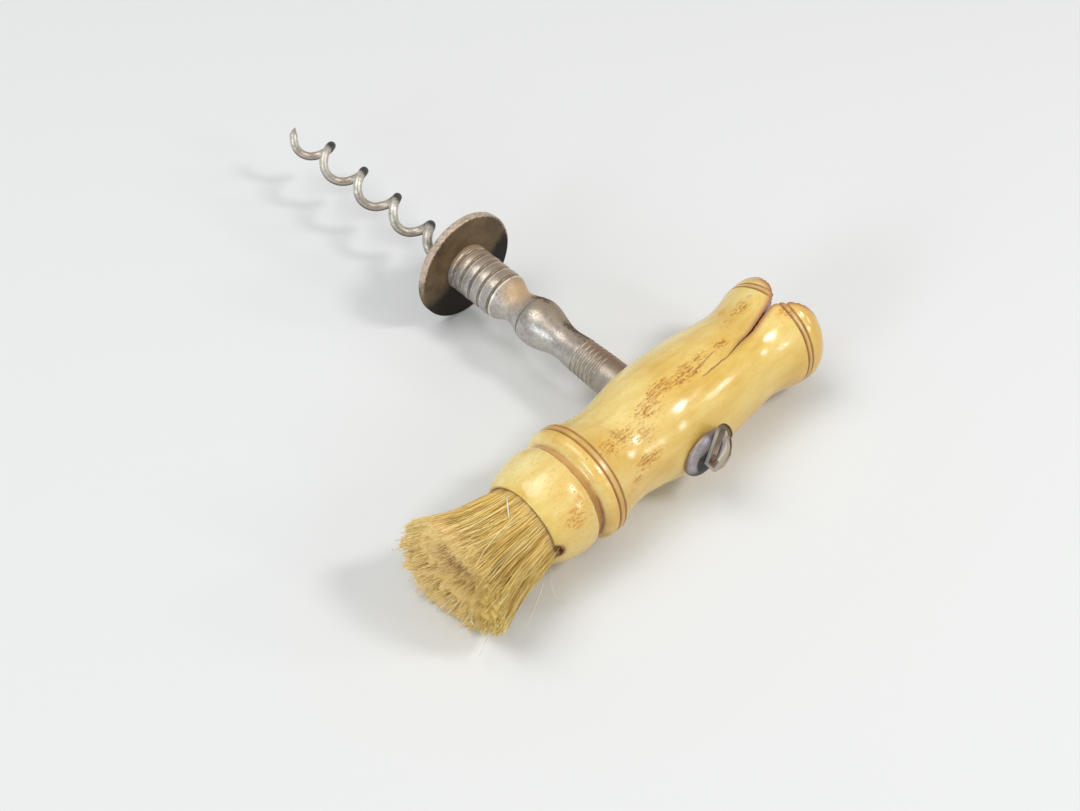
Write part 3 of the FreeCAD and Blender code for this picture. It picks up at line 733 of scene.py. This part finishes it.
def shares_out(dice, count, outer):
    """How far out hairs stand in the tuft, as shares of its half width."""
    drawn = dice.random(count)
    return 0.9 + 0.12 * drawn if outer else 0.9 * np.sqrt(drawn)


def fanned(dice, count, locks, outer, crossing):
    """Where hairs stand in the tuft at root and tip, in shares of its form, and each one's lock."""
    share = shares_out(dice, count, outer)
    turn = dice.random(count) * 2 * math.pi
    lock_turn = dice.random(locks) * 2 * math.pi
    lock_share = shares_out(dice, locks, outer)
    root = np.stack([share * np.cos(turn), share * np.sin(turn)], 1)
    lock = np.stack([lock_share * np.cos(lock_turn), lock_share * np.sin(lock_turn)], 1)
    mine = np.linalg.norm(root[:, None, :] - lock[None, :, :], axis=2).argmin(1)
    pull = (0.3 + 0.6 * dice.random(locks))[mine]
    tip = root + (lock[mine] - root) * pull[:, None]
    tip += dice.normal(0, 0.035, (locks, 2))[mine] + dice.normal(0, 0.022, (count, 2))
    stray = dice.random(count) < crossing
    swing = np.where(stray, dice.normal(0, 0.22, count), 0.0)
    across, up = tip.T
    turned_across = across * np.cos(swing) - up * np.sin(swing)
    turned_up = across * np.sin(swing) + up * np.cos(swing)
    tip = np.stack([turned_across, turned_up], 1)
    out = np.linalg.norm(tip, axis=1)
    tip *= (np.minimum(out, WIDEST) / out)[:, None]
    return root, tip, mine


def hair_ends(dice, tip, mine, locks):
    """How far along the handle the hairs end: ragged by locks, and hollow in the tuft's middle."""
    count = len(tip)
    across, up = tip.T
    length = dice.normal(0, 0.55, locks)[mine] + dice.normal(0, 0.4, count)
    hollow = np.exp(-((across + 0.05) ** 2 + (up - 0.3) ** 2) / 0.13)
    end_x = END_X - 0.1 + length + 2.4 * hollow + 1.6 * np.clip(-across - up * 0.5, 0, 1)
    worn_side = 2.6 * np.clip(across + up * 0.6 - 0.5, 0, 1)
    long_side = 0.9 * np.clip(across * 0.7 - up - 0.2, 0, 1)
    end_x += worn_side - long_side
    short = dice.random(count) < SHORT_SHARE
    end_x = np.where(short, end_x + dice.random(count) * 7, end_x)
    return np.maximum(end_x, FARTHEST_X)


def bristle_lines(dice, count, outer, crossing=0.2):
    """Paths of bristles that fan out in small locks to the ragged end, some across the others."""
    locks = OUTER_LOCKS if outer else INNER_LOCKS
    root, tip, mine = fanned(dice, count, locks, outer, crossing)
    end_x = hair_ends(dice, tip, mine, locks)
    from_x = ROOT_X if outer else INNER_ROOT_X
    t = np.linspace(0, 1, OUTER_RINGS if outer else INNER_RINGS)[None, :]
    x = from_x + (end_x[:, None] - from_x) * t
    middle, half_y, half_z = tuft_at(x)
    spread = np.clip((x - FAN_X) / (END_X - FAN_X), 0, 1.2) ** 1.3
    arch = np.sin(np.pi * np.clip(spread, 0, 1))
    bow = dice.normal(0, 0.022, (count, 2))
    across = root[:, :1] + (tip[:, :1] - root[:, :1]) * spread + bow[:, :1] * arch
    up = root[:, 1:] + (tip[:, 1:] - root[:, 1:]) * spread + bow[:, 1:] * arch
    beyond = np.maximum(1, np.hypot(across, up) / WIDEST)
    y = middle + across / beyond * half_y
    z = up / beyond * half_z
    # The hairs keep inside the mouth and off the floor
    from_axis = np.maximum(np.hypot(y - SOCKET_Y, z), 0.1)
    squeeze = np.where(x > IN_MOUTH_X, np.minimum(1, IN_MOUTH_R / from_axis), 1.0)
    y = SOCKET_Y + (y - SOCKET_Y) * squeeze
    z = np.maximum(z * squeeze, -CROSSING.z / MM + 0.3)
    return np.stack([x, y, z], 2)


def ring_noise(turns, radius, height):
    """Smooth noise read at points round a ring."""
    places = [Vector((math.cos(a) * radius, math.sin(a) * radius, height)) for a in turns]
    return np.array([noise.noise(place) for place in places])


def packed_bristles():
    """The close mass under the outer bristles, streaked like them, with a hollow end."""
    turns = np.linspace(0, 2 * math.pi, PACKED_SIDES, endpoint=False)
    run = [(x, PACKED_SHARE) for x in np.linspace(ROOT_X, -58.6, 26)]
    run += [(-59.5, 0.88), (-59.7, 0.78), (-59.4, 0.62), (-58.9, 0.48)]
    run += [(-58.3, 0.34), (-57.9, 0.2), (-57.7, 0.08)]
    streak = ring_noise(turns, 26, 0.4)
    points = []
    for x, share in run:
        middle, half_y, half_z = tuft_at(x)
        wide = share * (1 + 0.022 * streak * min(1.0, (ROOT_X - x) / 8))
        end = 0.8 * ring_noise(turns, 14, share * 22) * (share < 0.9)
        points.append(np.stack([
            x + end, middle + wide * half_y * np.cos(turns), wide * half_z * np.sin(turns)
        ], 1))
    points = np.concatenate(points + [np.array([[-57.6, -0.9, 0.0], [ROOT_X, SOCKET_Y, 0.0]])])
    faces = []
    for row in range(len(run) - 1):
        faces += ring_faces(row * PACKED_SIDES, (row + 1) * PACKED_SIDES, PACKED_SIDES)
    last = (len(run) - 1) * PACKED_SIDES
    tip, back = len(points) - 2, len(points) - 1
    faces += [(last + i, last + (i + 1) % PACKED_SIDES, tip) for i in range(PACKED_SIDES)]
    faces += [((i + 1) % PACKED_SIDES, i, back) for i in range(PACKED_SIDES)]
    made = mesh_object("packed_bristles", points, faces)
    tone = np.concatenate([np.tile(0.5 + 0.55 * streak, len(run)), [0.3, 0.3]])
    give_attribute(made, "tone", np.clip(tone, 0, 1))
    give_attribute(made, "place_along", points[:, 0])
    made.data.shade_smooth()
    return made


def bent_hair(root, pull, tip):
    """Path of one hair from root to tip, drawn towards the point between them."""
    steps = np.linspace(0, 1, OUTER_RINGS)
    return [tuple(root * (1 - t) ** 2 + pull * (2 * t * (1 - t)) + tip * t * t) for t in steps]


dice = np.random.default_rng(HAIR_SEED)
outer_bristles = hair_tubes(
    "outer_bristles", bristle_lines(dice, OUTER_HAIRS, True),
    HAIR_R * (0.75 + 0.55 * dice.random(OUTER_HAIRS)), dice.random(OUTER_HAIRS),
)
crossing_bristles = hair_tubes(
    "crossing_bristles", bristle_lines(dice, CROSSING_HAIRS, True, 1.0),
    HAIR_R * (1.15 + 0.35 * dice.random(CROSSING_HAIRS)), 0.7 + 0.35 * dice.random(CROSSING_HAIRS),
)
inner_bristles = hair_tubes(
    "inner_bristles", bristle_lines(dice, INNER_HAIRS, False),
    HAIR_R * (0.8 + 0.5 * dice.random(INNER_HAIRS)), 0.8 * dice.random(INNER_HAIRS),
)
loose_paths = []
loose_sizes = []
loose_tones = []
for root, bend, tip, radius in LOOSE_HAIRS:
    root, bend, tip = Vector(root), Vector(bend), Vector(tip)
    loose_paths.append(bent_hair(root, bend * 2 - (root + tip) / 2, tip))
    loose_sizes.append(radius)
    loose_tones.append(WHITE_TONE)
# Some have sprung out sideways through the chip in the lip
for _ in range(SPRUNG_HAIRS):
    side, up, turn = dice.random() * 1.9, dice.random() * 2.4 - 1.2, dice.normal(0, 0.25)
    root = Vector((-40.4, -8.6 - side * 0.8, 0.5 + up))
    tip = Vector((-49.0 - 5.0 * dice.random(), -10.4 - side * 1.1 + turn, 0.5 + up * 1.6 + turn * 2))
    loose_paths.append(bent_hair(root, Vector((-43.2, -9.3 - side, 0.5 + up * 1.1)), tip))
    loose_sizes.append(SPRUNG_R)
    loose_tones.append(0.4 + 0.55 * dice.random())
loose_bristles = hair_tubes("loose_bristles", loose_paths, loose_sizes, loose_tones)


def bristle_finish():
    """Blond hog's bristle, each hair its own shade, with painted shade in the mouth and in the hollow end
    and painted light on the cut end.
    """
    hair = Finish("blond_bristle", IOR=1.5, Specular_IOR_Level=0.35)
    place = hair.place()
    _, y, z = hair.axes(place)
    tone = hair.attribute("tone")
    along = hair.attribute("place_along")
    patch = hair.noise(place, 0.2, 3.0)
    streaks = hair.noise(hair.lengthwise(place, 0.12), 1.1, 3.0)
    shade = (tone * 0.7 + patch * 0.4 + streaks * 0.45 - 0.32).clamped()
    blond = hair.ramp(
        shade,
        (0.06, (186, 140, 64)), (0.3, (217, 178, 88)), (0.55, (236, 204, 116)), (0.85, (250, 232, 168)),
    )
    from_hollow = ((y + 0.5) * (y + 0.5) / 60 + (z - 3.0) * (z - 3.0) / 40).root()
    hollow = from_hollow.rise(1.1, 0.4) * along.rise(-54.0, -57.0) * tone.rise(1.1, 0.7)
    colour = hair.coated(
        blond,
        # Painted light on the cut end of the tuft, stronger on the side towards the shank
        (along.rise(-56.0, -60.5) * y.rise(-14.0, 2.0) * 0.85, (255, 224, 154)),
        ((tone - 1.0).rise(0.0, 0.3), (246, 240, 224)),
        # Painted shade towards the mouth, darkest right at the mouth on the side away from the shank
        (along.rise(-45.5, -42.5) * 0.4, (184, 138, 86)),
        (along.rise(-42.9, -42.3) * y.rise(2.0, -5.0) * 0.7, (112, 74, 40)),
        # Painted shade in the hollow of the end
        (hollow * 0.3, (196, 140, 108)),
        (hollow * tone.rise(0.4, 0.15) * 0.4, (128, 86, 52)),
    )
    return hair.finish(Base_Color=colour, Roughness=0.42 + patch * 0.2)


bristle_look = bristle_finish()
for piece in (packed_bristles(), outer_bristles, crossing_bristles, inner_bristles, loose_bristles):
    piece.data.materials.append(bristle_look)
    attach(piece, "corkscrew")
    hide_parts("bristle_tuft")


def thread_finish():
    """Waxed linen thread, wound close."""
    thread = Finish("waxed_thread")
    place = thread.place()
    wound = thread.axes(place)[0] * 9.0
    fibre = thread.noise(place, 3.0, 4.0)
    height = wound.math("SINE", wound) + fibre * 0.4
    colour = thread.ramp(fibre, (0.3, (92, 66, 38)), (0.7, (148, 112, 68)))
    return thread.finish(Base_Color=colour, Roughness=0.7 + fibre * 0.2, Normal=thread.bump(height, 0.15))


def pitch_finish():
    """Black-brown pitch, run in hot."""
    pitch = Finish("pitch")
    lump = pitch.noise(pitch.place(), 0.8, 3.0)
    colour = pitch.ramp(lump, (0.3, (26, 16, 10)), (0.7, (58, 34, 20)))
    return pitch.finish(Base_Color=colour, Roughness=0.25 + lump * 0.3, Normal=pitch.bump(lump, 0.3))


dress("tuft_binding", thread_finish())
dress("pitch_plug", pitch_finish())

# Shank: one turned steel bar from the riveted tip of its tang to the button, with fine ribs by
# the handle, a neck, a bulb, a throat and five rings. It has a grey-brown skin with rust on top.
RIBS_Y = (20.0, 27.0)
NECK_Y = 27.8
BULB_Y = 37.0
BULB_END_Y = 39.8
SCRIBED_LINE_Y = 40.2
THROAT_Y = 45.0
RING_EDGES_Y = (48.6, 51.85, 54.75, 57.75, 60.35)
RING_GROOVES_Y = (49.2, 52.4, 55.3, 58.3, 60.9)


def shank_finish():
    """Warm grey steel, rust-brown on top of its neck and bulb, tan on its throat, with a painted highlight
    on each ring's crest and painted shade on the fine ribs.
    """
    steel = Finish("patinated_steel")
    place = steel.place()
    x, y, z = steel.axes(place)
    cloud = steel.noise(place, 0.3, 5.0, 0.6)
    fine = steel.noise(place, 1.5, 4.0, 0.65)
    speck = steel.noise(place, 3.2, 3.0, 0.6)
    grey = steel.ramp(
        cloud * 0.55 + fine * 0.45,
        (0.34, (152, 142, 136)), (0.47, (176, 168, 162)), (0.6, (196, 190, 182)), (0.76, (214, 208, 198)),
    )
    # The side turned from the brush and the top are tan, the other side stays a cool grey
    tan = ((x * 0.8 + z * 0.7 + 1.0) / 6.0 + cloud - 0.5).clamped()
    throat_side = (x * 0.9 + z * 0.5 + fine * 4.0 - 1.0).rise(-3.5, 4.0)
    throat = (abs(y - THROAT_Y).rise(4.2, 1.2) * throat_side).clamped()
    last_ring = y.rise(58.0, 61.5) * (x * 0.5 + z).rise(-1.0, 3.0)
    # Rust sits in ragged patches on the neck and at the bulb's end, and less on the bulb between
    ragged = y + (fine - 0.5) * 5.0
    neck = abs(ragged - NECK_Y).rise(5.0, 2.0) * 1.4
    between = abs(ragged - 34.5).rise(5.0, 3.0) * 0.35
    rust_place = abs(ragged - BULB_END_Y).rise(3.0, 1.0) + neck + between
    clean_bulb = abs(y - BULB_Y).rise(4.5, 2.5) * 1.2
    rust_side = (x + z * 0.3 - 1.1 - clean_bulb + (fine - 0.5) * 5.0).rise(0.2, 1.8)
    rust = (rust_place * rust_side * (cloud.rise(0.3, 0.5) * 0.7 + 0.3)).clamped()
    ribs = y.rise(RIBS_Y[1], RIBS_Y[0])
    # Painted highlight: a bright line on the crest of each ring
    crest_glint = sum(abs(y - edge).rise(0.34, 0.1) for edge in RING_EDGES_Y)
    dirt = sum(abs(y - groove).rise(0.4, 0.15) for groove in RING_GROOVES_Y)
    dirt = dirt + abs(y - SCRIBED_LINE_Y).rise(0.3, 0.1) * 0.8
    pits = speck.rise(0.6, 0.7)
    riveted = y.rise(-13.0, -14.0)
    colour = steel.coated(
        grey,
        (tan * 0.65, (178, 152, 114)),
        (throat * 0.85, (208, 172, 128)),
        (last_ring * 0.85, (214, 188, 158)),
        ((rust * (speck * 0.4 + 0.75)).clamped(), (80, 58, 42)),
        # Painted shade: the fine ribs by the handle are darker, and darker still towards the top and the
        # side away from the brush
        (ribs * 0.45, (150, 138, 116)),
        (ribs * (x + z * 0.5).rise(0.0, 3.5) * 0.6, (140, 104, 80)),
        ((dirt * 0.75).clamped(), (84, 66, 54)),
        ((crest_glint * 0.75 * fine.rise(0.25, 0.5)).clamped(), (238, 228, 208)),
        (pits * 0.45, (96, 76, 62)),
        (riveted * 0.9, (112, 92, 76)),
    )
    dull = abs(y - THROAT_Y).rise(4.4, 2.6) * 0.16 + ribs * 0.08
    rough = (0.22 + fine * 0.22 + rust * 0.35 + pits * 0.2 + dull + riveted * 0.3).clamped()
    metal = (0.55 - rust * 0.5 - throat * 0.25 - riveted * 0.5).clamped()
    height = fine * 0.05 - pits * 0.07 + rust * fine * 0.12
    return steel.finish(Base_Color=colour, Roughness=rough, Metallic=metal, Normal=steel.bump(height, 1.0))


dress("shank", shank_finish())


# Button: a round steel plate riveted on the end of the shank. It stops on the cork, which then
# turns with the worm. Its back is dark, and its rim is worn bright.
def button_finish():
    """Olive-brown on the flats, painted nearly black as shade on its lower side and the side away from the
    brush, with a pinkish band rubbed bright on the upper rim.
    """
    plate = Finish("button_steel")
    place = plate.place()
    x, _, z = plate.axes(place)
    out = (x * x + z * z).root()
    cloud = plate.noise(place, 0.22, 5.0, 0.62)
    fine = plate.noise(place, 1.5, 4.0, 0.6)
    olive = plate.ramp(
        cloud * 0.7 + fine * 0.3,
        (0.32, (70, 54, 34)), (0.46, (94, 76, 50)), (0.58, (112, 90, 62)), (0.74, (132, 106, 78)),
    )
    # Painted shade: nearly black on the lower side and towards the side away from the brush
    button_shade = (z * -0.2 + x * 0.03 + x.rise(6.0, 12.0) * 0.6 + (cloud - 0.5) * 1.4 - 0.05).rise(0.0, 0.8)
    # The pinkish rim band is kept to the upper side; below it the painted shade stays
    rim = (out + (fine - 0.5) * 1.1).rise(12.7, 13.4) * (z + (cloud - 0.5) * 8.0).rise(-0.5, 4.5)
    rim = rim * (fine * 1.2 + cloud * 0.9 - 0.25).clamped()
    colour = plate.coated(olive, (button_shade * 0.94, (12, 8, 4)), ((rim * 0.95).clamped(), (222, 198, 178)))
    rough = (0.5 - rim * 0.15 + fine * 0.15 + button_shade * 0.25).clamped()
    metal = (0.2 + rim * 0.25 - button_shade * 0.2).clamped()
    height = fine * 0.06 + cloud * 0.1
    return plate.finish(Base_Color=colour, Roughness=rough, Metallic=metal, Normal=plate.bump(height, 1.0))


dress("button_disc", button_finish())


# Worm: round steel wire wound to a screw, let into the end of the shank, brazed and pinned. The
# spelter shows as a narrow collar, and the pin's end stands out beside the button.
def worm_finish():
    """Wire rubbed creamy bright where it is touched, pinkish beside that, with painted shade under and over
    its turns.
    """
    wire = Finish("worn_wire")
    place = wire.place()
    x, y, z = wire.axes(place)
    facing_up = wire.axes(wire.facing())[2]
    cloud = wire.noise(place, 0.35, 5.0, 0.65)
    fine = wire.noise(place, 2.0, 4.0, 0.65)
    bright = wire.ramp(
        cloud * 0.5 + fine * 0.5,
        (0.34, (142, 132, 118)), (0.46, (190, 182, 168)), (0.58, (218, 212, 200)), (0.76, (236, 232, 222)),
    )
    pinkish = ((z * -0.35 + y.rise(76.0, 64.0) * 1.2 + cloud - 0.4) * 0.8).clamped()
    # Painted shade on the downward faces of the wire and where it turns over the top
    over_top = (x + z * 0.35 + (fine - 0.5) * 1.8).rise(0.8, 2.6) * z.rise(-2.5, 0.5)
    turn_shade = (facing_up.rise(0.3, -0.4) + over_top * 1.2 + (fine - 0.55) * 0.8).clamped()
    pits = fine.rise(0.63, 0.72)
    colour = wire.coated(
        bright, (pinkish * 0.7, (196, 172, 154)), (turn_shade * 0.94, (38, 32, 24)), (pits * 0.5, (96, 78, 60))
    )
    rough = (0.28 + fine * 0.22 + turn_shade * 0.2).clamped()
    metal = (0.6 - turn_shade * 0.4).clamped()
    height = fine - pits
    return wire.finish(Base_Color=colour, Roughness=rough, Metallic=metal, Normal=wire.bump(height, 0.05))


def braze_finish():
    """Dull spelter with a pinkish skin."""
    spelter = Finish("spelter", Metallic=0.6)
    fine = spelter.noise(spelter.place(), 1.5, 4.0)
    colour = spelter.ramp(fine, (0.3, (120, 98, 78)), (0.7, (190, 168, 146)))
    return spelter.finish(Base_Color=colour, Roughness=0.4 + fine * 0.2, Normal=spelter.bump(fine, 0.15))


worm_look = worm_finish()
dress("worm", worm_look)
dress("cross_pin", worm_look)
dress("braze_fillet", braze_finish())


# Washer and hanging loop: a round steel washer on a flat filed on the bone, and on it a steel
# strap bent to an eye, which turns on the tang's riveted tip and takes a cord or a nail.
def washer_finish():
    """Lavender-grey bevel with a pinkish edge round a face painted dark, as the loop's shadow and shade
    below, with dirt.
    """
    ring = Finish("washer_steel")
    place = ring.place()
    x, y, z = ring.axes(place)
    out = (x * x + z * z).root()
    cloud = ring.noise(place, 0.5, 4.0, 0.6)
    fine = ring.noise(place, 2.2, 4.0, 0.6)
    grey = ring.ramp(
        cloud * 0.5 + fine * 0.5, (0.34, (138, 128, 128)), (0.5, (164, 154, 156)), (0.68, (186, 178, 180))
    )
    edge = (out + (fine - 0.5) * 0.3 + (y + 13.0) * 0.2).rise(5.85, 6.1)
    # Painted shadow of the loop on the face, with dirt, and painted shade on the lower part
    loop_shadow = (out + (cloud - 0.5) * 0.5).rise(4.5, 3.6) * (z + (cloud - 0.5) * 1.5).rise(3.2, 1.4)
    face = (loop_shadow + (z + x * 0.15).rise(-1.4, -4.2) * 0.85).clamped()
    colour = ring.coated(grey, (edge * 0.55, (140, 104, 88)), (face * 0.92, (28, 22, 16)))
    rough = (0.34 + fine * 0.2 + face * 0.2).clamped()
    metal = (0.5 - face * 0.35).clamped()
    return ring.finish(Base_Color=colour, Roughness=rough, Metallic=metal, Normal=ring.bump(fine, 0.06))


LOOP_ASIDE = 0.259  # the eye leans fifteen degrees towards the handle's far end
LOOP_UPWARD = 0.966


def strap_finish():
    """A strap with edges rubbed bright and a brown skin inside the eye, painted light low down and painted
    shade towards the top.
    """
    strap = Finish("strap_steel")
    place = strap.place()
    x, _, z = strap.axes(place)
    facing_x, _, facing_z = strap.axes(strap.facing())
    cloud = strap.noise(place, 0.5, 4.0, 0.6)
    fine = strap.noise(place, 2.2, 4.0, 0.6)
    along = x * LOOP_ASIDE + z * LOOP_UPWARD
    sideways = abs(facing_x * -LOOP_UPWARD + facing_z * LOOP_ASIDE)
    edge = (sideways + (fine - 0.5) * 0.4).rise(0.55, 0.85)
    # Painted light and shade inside the eye: tan low down, brown above and nearly black near the top; the
    # bright edges are painted darker near the top as shade
    colour = strap.coated(
        strap.mixed((along + (cloud - 0.5) * 2.0).rise(0.8, 4.5), (176, 150, 126), (112, 90, 60)),
        (along.rise(5.5, 8.5) * 0.8, (52, 42, 28)),
        (edge, strap.mixed(along.rise(7.0, 9.5), (196, 190, 180), (128, 116, 96))),
    )
    rough = 0.36 + fine * 0.2
    metal = (0.2 + edge * 0.35).clamped()
    return strap.finish(Base_Color=colour, Roughness=rough, Metallic=metal, Normal=strap.bump(fine, 0.06))


dress("tang_washer", washer_finish())
dress("hanging_loop", strap_finish())

# Studio: a plain pale floor, soft square lamps like windows, and a camera where the photograph
# was taken from.
EYE = Vector((-0.19582, -0.15503, 0.30241)) + CROSSING
RIGHT = Vector((0.7171, -0.6967, 0.0205))
UP = Vector((0.5273, 0.5616, 0.6376))
BACK = Vector((-0.4557, -0.4464, 0.7701))
FLOOR_HALF = 3.0
scene = bpy.context.scene
scene.view_settings.view_transform = "Standard"

lens = bpy.data.cameras.new("camera")
lens.sensor_width = 36.0
lens.lens = 60.0
lens.clip_start = 0.01
lens.clip_end = 20.0
camera = bpy.data.objects.new("camera", lens)
camera.matrix_world = Matrix.Translation(EYE) @ Matrix((RIGHT, UP, BACK)).transposed().to_4x4()
scene.collection.objects.link(camera)
scene.camera = camera

floor_mesh = bpy.data.meshes.new("floor")
corners = [(x * FLOOR_HALF, y * FLOOR_HALF, 0) for x, y in ((-1, -1), (1, -1), (1, 1), (-1, 1))]
floor_mesh.from_pydata(corners, [], [(0, 1, 2, 3)])
floor = bpy.data.objects.new("floor", floor_mesh)
scene.collection.objects.link(floor)
paper = Finish("pale_paper", Roughness=0.9, Base_Color=linear((226, 226, 224)))
floor_mesh.materials.append(paper.material)


def lamp(name, place, size, power, colour=(1.0, 1.0, 1.0)):
    """A soft square lamp that faces the corkscrew."""
    light = bpy.data.lights.new(name, "AREA")
    light.size = size
    light.energy = power
    light.color = colour
    made = bpy.data.objects.new(name, light)
    made.location = place
    aim = Vector((0, 0, 0.01)) - made.location
    made.rotation_euler = aim.to_track_quat("-Z", "Y").to_euler()
    scene.collection.objects.link(made)


lamp("ceiling", (-0.3, 0.25, 0.92), 0.6, 4.4)
lamp("window", (0.31, -0.45, 0.63), 0.15, 1.9)
lamp("low_window", (0.51, -0.55, 0.38), 0.11, 0.5)
lamp("far_window", (0.23, -0.74, 0.34), 0.11, 0.5)
lamp("left_window", (-1.1, -0.16, 0.46), 0.4, 4.0, (0.78, 0.91, 1.0))

world = bpy.data.worlds.new("room")
scene.world = world
world.use_nodes = True
daylight = world.node_tree.nodes["Background"]
daylight.inputs["Color"].default_value = (0.93, 0.94, 0.95, 1)
daylight.inputs["Strength"].default_value = 0.42
